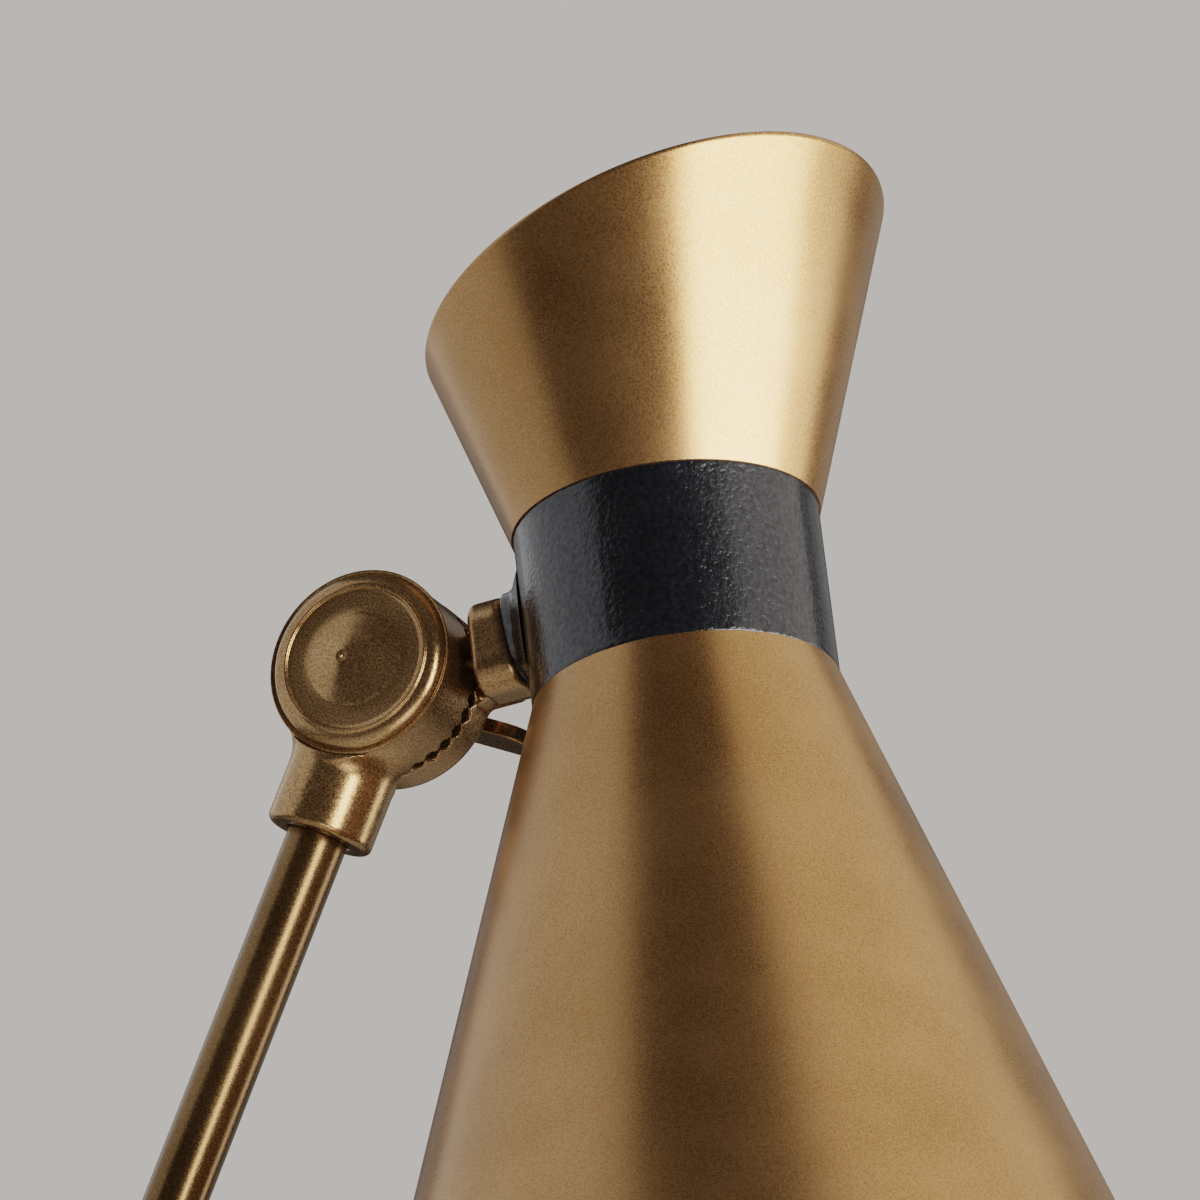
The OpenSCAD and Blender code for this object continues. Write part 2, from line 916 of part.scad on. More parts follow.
// The wire from the seam through the stem to the switch, in the head's frame
head_bend = wire_y - rear_face - EPS;
head_route = concat(
    [for (a = [0 : 15 : 90])
        [8.7 + 0.6 * head_bend * (1 - cos(a)), rear_face + EPS + head_bend * sin(a),
            -4.9 + 0.8 * head_bend * (1 - cos(a))]],
    [[10.9, wire_y, -2], [12.8, wire_y, -0.7], [15.5, wire_y, 0], [22, wire_y, 0]],
    [for (x = [30 : 7 : 51]) [x, wire_y, 0]], [[neck_reach - 13.5, wire_y, 0]]);
module head_wire() {
    color(IVORY)
        at_head()
            swept_wire(head_route, wire_r, 8);
}

shade_upper_cone();
neck_collar();
shade_lower_cone();
socket_bridge();
stem_screws();
socket_nipple();
nipple_nuts();
socket_cap();
rotary_switch();
socket_body();
screw_shell();
centre_contact();
switch_knob();
bulb_base();
bulb_tip();
bulb_glass();
knuckle_front();
knuckle_cap();
knuckle_rear();
pivot_bush();
pivot_bolt();
flat_washer();
spring_washer();
wing_nut();
mast_grub_screw();
mast_upper();
mast_lower();
mast_coupler();
tripod_hub();
hub_grub_screws();
leg_left();
leg_right();
foot_tip_rear();
foot_tip_left();
foot_tip_right();
cord_inlet_bush();
mast_wire();
head_wire();
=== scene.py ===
"""The looks of a tripod floor lamp with a tilting hourglass shade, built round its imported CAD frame."""
import json
import math

import bmesh
import bpy
import numpy as np
import openvdb
from mathutils import Matrix, Vector, noise


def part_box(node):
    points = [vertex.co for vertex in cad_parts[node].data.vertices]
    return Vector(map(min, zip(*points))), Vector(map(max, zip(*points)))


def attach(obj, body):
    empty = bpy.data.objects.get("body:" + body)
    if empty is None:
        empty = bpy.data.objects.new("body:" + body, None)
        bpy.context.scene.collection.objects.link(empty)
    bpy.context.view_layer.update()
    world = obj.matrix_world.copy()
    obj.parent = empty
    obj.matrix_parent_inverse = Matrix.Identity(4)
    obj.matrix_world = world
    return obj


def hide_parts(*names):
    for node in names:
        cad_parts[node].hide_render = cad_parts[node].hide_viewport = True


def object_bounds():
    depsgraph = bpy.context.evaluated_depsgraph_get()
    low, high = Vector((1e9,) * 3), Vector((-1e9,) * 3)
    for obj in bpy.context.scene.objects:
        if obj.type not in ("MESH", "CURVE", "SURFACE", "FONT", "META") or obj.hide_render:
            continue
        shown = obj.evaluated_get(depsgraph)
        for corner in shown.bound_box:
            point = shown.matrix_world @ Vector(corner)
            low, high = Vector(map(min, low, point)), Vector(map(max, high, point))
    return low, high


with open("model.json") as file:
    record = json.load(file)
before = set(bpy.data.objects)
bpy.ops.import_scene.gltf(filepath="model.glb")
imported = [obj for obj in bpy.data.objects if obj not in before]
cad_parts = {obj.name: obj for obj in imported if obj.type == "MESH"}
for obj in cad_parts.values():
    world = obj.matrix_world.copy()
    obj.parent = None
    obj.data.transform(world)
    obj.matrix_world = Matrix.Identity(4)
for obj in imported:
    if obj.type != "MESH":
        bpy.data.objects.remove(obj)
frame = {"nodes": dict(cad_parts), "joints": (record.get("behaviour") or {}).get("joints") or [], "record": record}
cad_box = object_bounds()

MM = 0.001
SIDE = Vector((0, 1, 0))

# ---- Places: every piece is made in millimetres in one of these frames ----

joints = {j["name"]: j for j in frame["joints"]}
pivot = Vector(joints["shade_tilt"]["pos_m"])
shade_up = Vector(joints["switch_turn"]["axis"])
stem_dir = SIDE.cross(shade_up)
neck_reach = (Vector(joints["switch_turn"]["pos_m"]) - pivot).dot(stem_dir)


def middle(node):
    """The middle of a CAD node's box."""
    low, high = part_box(node)
    return (low + high) / 2


def place(origin, up, side=SIDE):
    """A frame at origin whose Z is up and whose Y is side."""
    matrix = Matrix((side.cross(up), side, up)).transposed().to_4x4()
    matrix.translation = origin
    return matrix


hub_centre = middle("mast_coupler")
mast_up = (pivot - hub_centre).normalized()
HEAD = place(pivot, shade_up)
SHADE = place(pivot + stem_dir * neck_reach, shade_up)
MAST = place(pivot, mast_up)
CAP = Matrix((SIDE.cross(mast_up), mast_up, -SIDE)).transposed().to_4x4()
CAP.translation = pivot

# ---- Sizes in millimetres ----

# The shade, along its axis from the level of the pivot.
NECK_R = 31.25
COLLAR_TOP = 16.2
COLLAR_LOW = -21.2
COLLAR_BORE = 30.05
UPPER_ROOT_R = 31.75
UPPER_SLOPE = math.tan(math.radians(17.4))
UPPER_LEN = 53.6
RIM_SLOPE = math.tan(math.radians(15.1))
LOWER_SLOPE = math.tan(math.radians(18.4))
LOWER_LEN = 185.0
SHEET = 1.0
SPIGOT = 4.0
PRESS_FIT = 0.05
BEAD_R = 1.1

# The knuckle, along its bolt.
KNUCKLE_R = 20.0
FRONT_DEPTH = 9.8
SEAM_FRONT = 3.85
SEAM_REAR = 4.15
REAR_BACK = 13.35
TEETH = 34
TOOTH_DEPTH = 1.3
TOOTH_INNER = 14.6
TOOTH_FLANK = 3.1  # how steeply a tooth rises over its pitch, before its flat root and crest are cut off
TOOTH_ROOT = 0.35
CAVITY_R = 14.5
BOLT_HOLE_R = 5.0
STUB_R = 11.25
STUB_LEN = 35.5
SOCKET_DEPTH = 11.5
MAST_TOP = SOCKET_DEPTH - STUB_LEN

# The cap: its cone runs from a flat ring up to a small tip, which sits off the middle, and has a soft swell.
CONE_R = 10.1
CONE_FOOT = 2.95
CONE_SLOPE = 0.29
TIP_SHIFT = (-1.9, -0.8)
SWELL_AT = (4.6, 3.3)
SWELL_R = 3.0
SWELL_HEIGHT = 0.45

# The stem, from the pivot to the neck.
STEM_HALF = 9.75
STEM_FRONT = -7.7
STEM_BACK = 9.2
STEM_START = 23.0
STEM_END = 31.3
SADDLE_CURVE = 0.0055
SADDLE_RISE = 0.9
WEB_HALF = 8.2

# The wing nut.
NUT_Y = 15.85
NUT_R = 6.9
NUT_HEIGHT = 8.0
NUT_BORE = 3.1
EAR_START = 3.0
EAR_REACH = 28.0
EAR_HEIGHT = 14.0
EAR_WIDTH = 10.0
EAR_HALF = 1.5

# The stand.
TUBE_R = 6.35
TUBE_BORE = 5.15
HUB_R = 14.0
HUB_HALF = 36.0
HUB_WEB = 8.0
BOSS_R = 10.3
BOSS_LEN = 58.0
LEG_START = 27.0

# ---- Mesh tools ----


def finish_mesh(name, mesh, at, body, node, materials, sharp=38.0):
    """Turns a mesh in millimetres in the frame `at` into a piece that rides on a body and replaces a CAD
    node. Edges sharper than `sharp` degrees stay crisp."""
    mesh.transform(Matrix.Scale(MM, 4))
    piece = bpy.data.objects.new(name, mesh)
    bpy.context.scene.collection.objects.link(piece)
    piece.matrix_world = at
    mesh.polygons.foreach_set("use_smooth", [True] * len(mesh.polygons))
    mesh.set_sharp_from_angle(angle=math.radians(sharp))
    for material in materials:
        mesh.materials.append(material)
    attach(piece, body)
    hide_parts(node)


def from_rings(name, rings, closed=True, inner_faces=()):
    """A skin over rings of points that stand round an axis, each a profile, a closed loop if `closed`.
    The profile's steps in inner_faces get the second material."""
    count, steps = len(rings), len(rings[0])
    mesh = bpy.data.meshes.new(name)
    points = [p for ring in rings for p in ring]
    faces, marks = [], []
    spans = steps if closed else steps - 1
    for i in range(count):
        j = (i + 1) % count
        for k in range(spans):
            n = (k + 1) % steps
            faces.append((i * steps + k, j * steps + k, j * steps + n, i * steps + n))
            marks.append(1 if k in inner_faces else 0)
    mesh.from_pydata(points, [], faces)
    mesh.polygons.foreach_set("material_index", marks)
    made = bmesh.new()
    made.from_mesh(mesh)
    bmesh.ops.remove_doubles(made, verts=made.verts, dist=1e-5)
    bmesh.ops.recalc_face_normals(made, faces=made.faces)
    made.to_mesh(mesh)
    made.free()
    return mesh


def turned(name, profile, segments, closed=True, inner_faces=()):
    """A lathe piece round Z from a profile of (radius, height)."""
    rings = []
    for i in range(segments):
        angle = math.tau * i / segments
        rings.append([(r * math.cos(angle), r * math.sin(angle), z) for r, z in profile])
    return from_rings(name, rings, closed, inner_faces)


def eased(corners, steps=3):
    """A closed profile with its corners rounded. Each corner is (r, z, rounding), and no rounding takes
    more than a share of `most` of an edge."""
    most = 0.48
    result = []
    count = len(corners)
    for i, (r, z, rounding) in enumerate(corners):
        here = Vector((r, z))
        if not rounding:
            result.append((r, z))
            continue
        before = Vector(corners[i - 1][:2]) - here
        after = Vector(corners[(i + 1) % count][:2]) - here
        start = here + before.normalized() * min(rounding, before.length * most)
        end = here + after.normalized() * min(rounding, after.length * most)
        for k in range(steps + 1):
            u = k / steps
            point = start * (1 - u) ** 2 + here * 2 * u * (1 - u) + end * u ** 2
            result.append((point.x, point.y))
    return result


def field_mesh(name, low, high, voxel, field):
    """A mesh of the zero surface of field(x, y, z), a distance in millimetres, in the box low..high."""
    axes = [np.arange(a, b + voxel, voxel, dtype=np.float32) for a, b in zip(low, high)]
    x, y, z = np.meshgrid(*axes, indexing="ij")
    band = 3 * voxel
    values = np.clip(field(x, y, z), -band, band).astype(np.float32)
    grid = openvdb.FloatGrid(band)
    grid.copyFromArray(values)
    points, quads = grid.convertToQuads(0.0)
    points = points * voxel + np.array(low, np.float32)
    mesh = bpy.data.meshes.new(name)
    mesh.from_pydata(points.tolist(), [], quads.tolist())
    made = bmesh.new()
    made.from_mesh(mesh)
    bmesh.ops.recalc_face_normals(made, faces=made.faces)
    made.to_mesh(mesh)
    made.free()
    return mesh


def union(a, b, blend):
    """The union of two distance fields with a fillet of about blend."""
    h = np.clip(0.5 + 0.5 * (b - a) / blend, 0, 1)
    return b * (1 - h) + a * h - blend * h * (1 - h)


def cut(a, b, blend):
    """Field a without field b, its new edge rounded by blend."""
    return -union(-a, b, blend)


def rod(radial, along, low, high, radius, edge=0.0):
    """A cylinder from low to high along its axis, with rims rounded by edge."""
    d = np.stack([radial - radius + edge, np.abs(along - (low + high) / 2) - (high - low) / 2 + edge])
    outside = np.sqrt((np.maximum(d, 0) ** 2).sum(0))
    return outside + np.minimum(d.max(0), 0) - edge


def slab(x, y, z, low, high, edge):
    """A box between two corners, with its edges rounded by edge."""
    d = np.stack([np.abs(v - (a + b) / 2) - (b - a) / 2 + edge for v, a, b in zip((x, y, z), low, high)])
    outside = np.sqrt((np.maximum(d, 0) ** 2).sum(0))
    return outside + np.minimum(d.max(0), 0) - edge


def tooth_height(x, z, turned_by):
    """The height of the seam's teeth, 0 between them and 1 on their crests, turned by some degrees."""
    share = np.mod((np.degrees(np.arctan2(-z, x)) - turned_by) * TEETH / 360 + 0.5, 1) - 0.5
    return np.clip((0.5 - np.abs(share)) * TOOTH_FLANK - TOOTH_ROOT, 0, 1)


def saddle(z):
    """How far the stem's end reaches past its flat pad, which it follows down into the neck."""
    return SADDLE_CURVE * (STEM_HALF - z) ** 2 - SADDLE_RISE


# ---- Materials ----


class Shader:
    """A material and short ways to add nodes to it."""

    def __init__(self, name, color, metallic, roughness, **sockets):
        self.material = bpy.data.materials.new(name)
        self.material.use_nodes = True
        self.tree = self.material.node_tree
        self.bsdf = self.tree.nodes["Principled BSDF"]
        self.bsdf.inputs["Base Color"].default_value = (*color, 1)
        self.bsdf.inputs["Metallic"].default_value = metallic
        self.bsdf.inputs["Roughness"].default_value = roughness
        for key, value in sockets.items():
            self.bsdf.inputs[key.replace("_", " ")].default_value = value
        self.coords = self.tree.nodes.new("ShaderNodeTexCoord").outputs["Object"]

    def link(self, a, b):
        self.tree.links.new(a, b)

    def noise(self, per_metre, detail=2.0, rough=0.5, stretch=None):
        """Clouds or grain with so many features to a metre."""
        node = self.tree.nodes.new("ShaderNodeTexNoise")
        node.inputs["Scale"].default_value = per_metre
        node.inputs["Detail"].default_value = detail
        node.inputs["Roughness"].default_value = rough
        source = self.coords
        if stretch:
            mapping = self.tree.nodes.new("ShaderNodeMapping")
            mapping.inputs["Scale"].default_value = stretch
            self.link(self.coords, mapping.inputs["Vector"])
            source = mapping.outputs["Vector"]
        self.link(source, node.inputs["Vector"])
        return node.outputs["Fac"]

    def cells(self, per_metre):
        """Random colours in cells, so many to a metre."""
        node = self.tree.nodes.new("ShaderNodeTexVoronoi")
        node.inputs["Scale"].default_value = per_metre
        self.link(self.coords, node.inputs["Vector"])
        return node.outputs["Color"]

    def spread(self, value, to_low, to_high, low=0.3, high=0.7):
        """Maps low..high of a pattern to to_low..to_high. Noise lies mostly from 0.3 to 0.7."""
        node = self.tree.nodes.new("ShaderNodeMapRange")
        node.inputs["From Min"].default_value = low
        node.inputs["From Max"].default_value = high
        node.inputs["To Min"].default_value = to_low
        node.inputs["To Max"].default_value = to_high
        self.link(value, node.inputs["Value"])
        return node.outputs["Result"]

    def ramp(self, value, stops):
        """Colours a pattern by stops of (position, colour)."""
        node = self.tree.nodes.new("ShaderNodeValToRGB")
        while len(node.color_ramp.elements) < len(stops):
            node.color_ramp.elements.new(0.5)
        for element, (position, color) in zip(node.color_ramp.elements, stops):
            element.position = position
            element.color = (*color, 1)
        self.link(value, node.inputs["Fac"])
        return node.outputs["Color"]

    def sum(self, a, b, weight):
        """a + b * weight"""
        node = self.tree.nodes.new("ShaderNodeMath")
        node.operation = "MULTIPLY_ADD"
        node.inputs[1].default_value = weight
        self.link(b, node.inputs[0])
        self.link(a, node.inputs[2])
        return node.outputs[0]

    def color(self, source):
        self.link(source, self.bsdf.inputs["Base Color"])

    def roughness(self, source):
        self.link(source, self.bsdf.inputs["Roughness"])

    def bump(self, source, strength, depth_mm):
        node = self.tree.nodes.new("ShaderNodeBump")
        node.inputs["Strength"].default_value = strength
        node.inputs["Distance"].default_value = depth_mm * MM
        self.link(source, node.inputs["Height"])
        self.link(node.outputs["Normal"], self.bsdf.inputs["Normal"])


def scaled(color, factor):
    """A colour made darker or lighter."""
    return tuple(min(1, part * factor) for part in color)


def brass_paint(name, dark, light, metallic, roughness, grain, speckle, bump_mm):
    """Satin metallic lacquer: pigment flakes as fine speckle over soft, larger clouds."""
    s = Shader(name, light, metallic, roughness, Coat_Weight=0.12, Coat_Roughness=0.25)
    flakes = s.noise(grain, 1.0, 0.5)
    clouds = s.noise(22, 3.0, 0.55)
    first_stop = 0.25
    s.color(s.ramp(s.sum(s.spread(flakes, 0, speckle), clouds, 0.5),
                   [(first_stop, dark), (first_stop + speckle, light)]))
    s.roughness(s.sum(s.spread(clouds, roughness - 0.05, roughness + 0.03),
                      s.spread(flakes, -0.5, 0.5), 0.05))
    s.bump(s.sum(flakes, s.noise(330, 2.0), 1.5), 0.55, bump_mm)
    return s.material


def enamel(name, color, roughness, peel_mm):
    """Glossy sprayed enamel with orange peel and a few dust specks."""
    s = Shader(name, color, 0.0, roughness, Coat_Weight=0.45, Coat_Roughness=0.14, IOR=1.5,
               Specular_Tint=(0.97, 0.97, 1.0, 1))
    peel = s.noise(900, 2.0, 0.6)
    s.link(s.spread(peel, 0.4, 0.66, 0.35, 0.65), s.bsdf.inputs["Specular IOR Level"])
    lumps = s.noise(140, 2.0, 0.5)
    dust = s.ramp(s.cells(900), [(0.93, (0, 0, 0)), (1.0, (1, 1, 1))])
    s.roughness(s.spread(s.noise(60, 4.0), roughness - 0.05, roughness + 0.07))
    s.color(s.ramp(s.noise(900, 2.0), [(0.3, scaled(color, 0.7)), (0.75, scaled(color, 1.5))]))
    s.bump(s.sum(s.sum(peel, lumps, 1.2), dust, 0.25), 0.7, peel_mm)
    return s.material


def plain_metal(name, color, roughness, mark_mm):
    """Plated or bare metal with fine turning marks."""
    s = Shader(name, color, 1.0, roughness)
    marks = s.noise(900, 3.0, 0.6, (1, 1, 6))
    s.roughness(s.spread(marks, roughness - 0.07, roughness + 0.1))
    s.color(s.ramp(s.noise(130, 4.0), [(0.25, scaled(color, 0.75)), (0.7, color)]))
    s.bump(marks, 0.4, mark_mm)
    return s.material


def moulded(name, color, roughness, grain, grain_mm, **sockets):
    """Moulded plastic or rubber with a fine texture and scuffs."""
    s = Shader(name, color, 0.0, roughness, **sockets)
    texture = s.noise(grain, 3.0, 0.6)
    s.roughness(s.spread(s.noise(90, 4.0), roughness - 0.08, roughness + 0.08))
    s.color(s.ramp(texture, [(0.25, scaled(color, 0.8)), (0.75, scaled(color, 1.15))]))
    s.bump(texture, 0.5, grain_mm)
    return s.material


brass = brass_paint("brass_lacquer", dark=(0.33, 0.175, 0.068), light=(0.49, 0.285, 0.133),
                    metallic=0.92, roughness=0.31, grain=2600, speckle=0.25, bump_mm=0.006)
mast_brass = brass_paint("mast_lacquer", dark=(0.13, 0.074, 0.03), light=(0.24, 0.145, 0.065),
                         metallic=0.85, roughness=0.3, grain=2600, speckle=0.35, bump_mm=0.01)
bronze = brass_paint("bronze_cast", dark=(0.25, 0.142, 0.06), light=(0.52, 0.33, 0.17),
                     metallic=0.87, roughness=0.27, grain=2300, speckle=0.24, bump_mm=0.014)
black = enamel("black_enamel", (0.007, 0.007, 0.009), roughness=0.22, peel_mm=0.3)
hub_black = enamel("hub_enamel", (0.014, 0.014, 0.015), roughness=0.28, peel_mm=0.05)
white_inside = moulded("white_inside", (0.62, 0.60, 0.56), roughness=0.45, grain=800, grain_mm=0.02)
steel = plain_metal("steel", (0.60, 0.60, 0.61), roughness=0.3, mark_mm=0.01)
cap_metal = plain_metal("cap_metal", (0.72, 0.72, 0.70), roughness=0.26, mark_mm=0.01)
contact = plain_metal("brass_contact", (0.75, 0.56, 0.27), roughness=0.25, mark_mm=0.01)
phenolic = moulded("black_plastic", (0.022, 0.021, 0.02), roughness=0.33, grain=700, grain_mm=0.02)
ivory = moulded("ivory_plastic", (0.74, 0.70, 0.60), roughness=0.42, grain=600, grain_mm=0.02)
rubber = moulded("rubber", (0.02, 0.02, 0.02), roughness=0.68, grain=1100, grain_mm=0.05)
sleeve = moulded("wire_sleeve", (0.70, 0.66, 0.56), roughness=0.5, grain=900, grain_mm=0.02)
frosted = moulded("frosted_glass", (0.93, 0.93, 0.90), roughness=0.38, grain=500, grain_mm=0.01,
                  Transmission_Weight=0.55, IOR=1.5, Subsurface_Weight=0.2)

by_slot = {"brass_lacquer": brass, "bronze_cast": bronze, "black_enamel": black, "steel": steel,
           "black_plastic": phenolic, "cap_metal": cap_metal, "brass_contact": contact,
           "ivory_plastic": ivory, "frosted_glass": frosted, "rubber": rubber, "wire_sleeve": sleeve}

for part in frame["record"]["subparts"]:
    shown = frame["nodes"][part["node"]]
    shown.data.materials.clear()
    lacquered = part["node"].startswith("mast_") and part["material_slot"] == "brass_lacquer"
    shown.data.materials.append(mast_brass if lacquered else by_slot[part["material_slot"]])

# ---- Shade ----

SHADE_TURNS = 288
# Each wall has one more ring close to its end, so that the rim's shading doesn't run down the wall.
LAST_RING = 0.99
LOWER_LAST_RING = 0.992


def upper_cone():
    """The slant-cut upper cone: brass outside, white inside, with a rounded rim."""
    wall, lip_steps = 14, 6
    lip_r = SHEET / 2
    mouth = UPPER_ROOT_R + UPPER_SLOPE * UPPER_LEN
    shares = [k / wall for k in range(wall)] + [LAST_RING, 1]
    plug_r = COLLAR_BORE - PRESS_FIT
    rings = []
    for i in range(SHADE_TURNS):
        angle = math.tau * i / SHADE_TURNS
        rim_r = mouth / (1 - UPPER_SLOPE * RIM_SLOPE * math.cos(angle))
        rim_z = COLLAR_TOP + (rim_r - UPPER_ROOT_R) / UPPER_SLOPE - lip_r
        outer = [(UPPER_ROOT_R + (rim_r - UPPER_ROOT_R) * share, COLLAR_TOP + (rim_z - COLLAR_TOP) * share)
                 for share in shares]
        lip = [(rim_r - lip_r + lip_r * math.cos(math.pi * k / lip_steps),
                rim_z + lip_r * math.sin(math.pi * k / lip_steps)) for k in range(1, lip_steps)]
        inner = [(r - SHEET, z) for r, z in reversed(outer[1:])]
        root = [(COLLAR_BORE - SHEET, COLLAR_TOP + SHEET), (COLLAR_BORE - SHEET, COLLAR_TOP - SPIGOT),
                (plug_r, COLLAR_TOP - SPIGOT), (plug_r, COLLAR_TOP)]
        profile = outer + lip + inner + root
        rings.append([(r * math.cos(angle), r * math.sin(angle), z) for r, z in profile])
    white_from = len(outer) + len(lip) - 1
    mesh = from_rings("upper_cone", rings, True, range(white_from, white_from + len(inner) + 2))
    finish_mesh("upper_cone", mesh, SHADE, "head", "shade_upper_cone",
                [brass, white_inside])


def lower_cone():
    """The long lower cone with a rolled bead at its mouth."""
    wall = 24
    mouth_z = COLLAR_LOW - LOWER_LEN
    mouth_r = NECK_R + LOWER_SLOPE * LOWER_LEN
    shares = [k / wall for k in range(wall)] + [LOWER_LAST_RING]
    outer = [(NECK_R + (mouth_r - NECK_R) * share, COLLAR_LOW - LOWER_LEN * share) for share in shares]
    bead_r, bead_z = mouth_r - SHEET / 2, mouth_z + BEAD_R / 2
    bead = [(bead_r + BEAD_R * math.cos(math.radians(a)), bead_z + BEAD_R * math.sin(math.radians(a)))
            for a in range(60, -211, -18)]
    inner = [(r - SHEET, z) for r, z in reversed(outer[1:])]
    plug_r = COLLAR_BORE - PRESS_FIT
    root = [(NECK_R - 2 * SHEET, COLLAR_LOW - SHEET), (COLLAR_BORE - SHEET, COLLAR_LOW - SHEET),
            (COLLAR_BORE - SHEET, COLLAR_LOW + SPIGOT), (plug_r, COLLAR_LOW + SPIGOT), (plug_r, COLLAR_LOW)]
    white_from = len(outer) + len(bead) - 3
    mesh = turned("lower_cone", outer + bead + inner + root, SHADE_TURNS, True,
                  range(white_from, white_from + len(inner) + 5))
    finish_mesh("lower_cone", mesh, SHADE, "head", "shade_lower_cone",
                [brass, white_inside])


def band_rings():
    """The band's rings: a sprayed coat with a slightly thicker edge, which wanders a little at each end."""
    coat, edge_coat, shoulder, wandering = 0.06, 0.15, 0.1, 9
    rings = []
    for i in range(SHADE_TURNS):
        angle = math.tau * i / SHADE_TURNS
        around = Vector((math.cos(angle), math.sin(angle), 0)) * wandering
        over_top, under_low = [0.14 + 0.17 * noise.noise(around + Vector((0, 0, seed)))
                               for seed in (3.1, 7.7)]
        top, low = COLLAR_TOP + over_top, COLLAR_LOW - under_low
        edge = [(-0.1, 0), (0.09, 0.02), (edge_coat, 0.25), (shoulder, 0.9)]
        outer = [(NECK_R + grow, low + rise) for grow, rise in edge]
        outer += [(NECK_R + coat, low + (top - low) * k / 10) for k in range(1, 10)]
        outer += [(NECK_R + grow, top - rise) for grow, rise in reversed(edge)]
        profile = outer + [(COLLAR_BORE, COLLAR_TOP), (COLLAR_BORE, COLLAR_LOW)]
        rings.append([(r * math.cos(angle), r * math.sin(angle), z) for r, z in profile])
    return rings


def add_pad(made):
    """Adds the stem's pad, a rounded rectangle that flares into the band, as (distance in, growth) rows."""
    points, squareness, drop, flat = 64, 0.55, 0.6, 3
    pad_x = STEM_END - neck_reach / MM
    mid_y, half_y = (STEM_BACK + STEM_FRONT) / 2, (STEM_BACK - STEM_FRONT) / 2
    rows = []
    for inward, grow in ((0, -0.7), (0.12, -0.1), (0.5, 0.3), (1.4, 0.4), (2.2, 0.8), (2.9, 1.5), (3.6, 2.6),
                         (5.5, 5.0)):
        loop = []
        for k in range(points):
            angle = math.tau * k / points
            cy, cz = math.cos(angle), math.sin(angle)
            y = mid_y + (half_y + grow) * math.copysign(abs(cy) ** squareness, cy)
            z = (STEM_HALF + grow) * math.copysign(abs(cz) ** squareness, cz) - drop
            pushed = saddle(max(-STEM_HALF, min(STEM_HALF, z))) * max(0, 1 - inward / flat)
            loop.append(made.verts.new((pad_x + inward + pushed, y, z)))
        rows.append(loop)
    for a, b in zip(rows, rows[1:]):
        for k in range(points):
            n = (k + 1) % points
            made.faces.new((a[k], a[n], b[n], b[k]))
    made.faces.new(rows[0])
    made.faces.new(list(reversed(rows[-1])))


def neck_band():
    """The black band with its pad for the stem."""
    mesh = from_rings("neck_band", band_rings())
    made = bmesh.new()
    made.from_mesh(mesh)
    add_pad(made)
    bmesh.ops.recalc_face_normals(made, faces=made.faces)
    made.to_mesh(mesh)
    made.free()
    finish_mesh("neck_band", mesh, SHADE, "head", "neck_collar", [black], 60)


upper_cone()
lower_cone()
neck_band()

# ---- Knuckle ----

KNUCKLE_VOXEL = 0.3
FAR = 100.0  # an end that lies well outside the mesh's box


def front_casting():
    """The fixed half of the knuckle: a cup, its seam teeth and the socket that grips the mast."""
    cup_taper, cup_back, cup_floor, land_back = 0.02, 8.0, -2.0, 0.15

    def field(x, y, z):
        from_axis = np.sqrt(x ** 2 + z ** 2)
        from_stub = np.sqrt(x ** 2 + y ** 2)
        cup = np.maximum(from_axis - KNUCKLE_R + 0.2 - cup_taper * y, -FRONT_DEPTH - y)
        cup = np.maximum(cup, y - cup_back)
        stub = rod(from_stub, z, -STUB_LEN, 0, STUB_R - 0.05, 1.5)
        body = union(cup, stub, 5.0)
        seam = SEAM_FRONT - TOOTH_DEPTH * (1 - tooth_height(x, z, 0))
        land = SEAM_FRONT - land_back
        behind = np.where(from_axis > TOOTH_INNER, seam - y, land - y) * 0.7
        body = cut(body, np.maximum(behind, from_axis - KNUCKLE_R - 3), 0.2)
        body = cut(body, rod(from_axis, y, -FAR, -FRONT_DEPTH, KNUCKLE_R + 0.2), 0.2)
        body = cut(body, rod(from_axis, y, -FAR, cup_floor, CAVITY_R), 0.1)
        return cut(body, rod(from_stub, z, -FAR, MAST_TOP + 0.5, TUBE_R + 0.35), 0.5)

    mesh = field_mesh("knuckle_body", (-21.5, -12, -37.2), (21.5, 12, 21.5), KNUCKLE_VOXEL, field)
    finish_mesh("knuckle_body", mesh, MAST, "stand", "knuckle_front", [bronze], 60)


def cap_profile():
    """The cap's (radius, height) outline: plug, lip, groove, shoulder, ridge, ring, cone and tip."""
    plug = [(0, -0.2), (13.3, -0.2), (13.3, -3.4), (14.3, -3.4), (14.3, 0.0)]
    lip = [(19.75, 0.0), (19.93, 0.12), (19.98, 0.35), (19.95, 0.72), (19.8, 0.88), (19.5, 0.86),
           (19.25, 0.6)]
    shoulder = [(15.6 + 3.5 * math.cos(math.radians(a)), 3.0 * math.sin(math.radians(a)))
                for a in range(10, 87, 7)]
    ridge = [(15.62 + 0.42 * math.cos(math.radians(a)), 3.02 + 0.42 * math.sin(math.radians(a)))
             for a in range(20, 181, 20)]
    ring = [(15.0, 2.86), (14.2, 2.82), (12.2, 2.82), (10.35, 2.82), (10.2, 2.86)]
    cone_from, cone_to = CONE_R - 0.05, 1.6
    cone = [(r, CONE_FOOT + CONE_SLOPE * (cone_from - r))
            for r in np.linspace(cone_from, cone_to, 11).tolist()]
    tip = [(1.15, 5.5), (0.9, 5.42), (0.6, 5.42), (0.4, 5.7), (0.2, 5.88), (0, 5.92)]
    return plug + lip + shoulder + ridge + ring + cone + tip


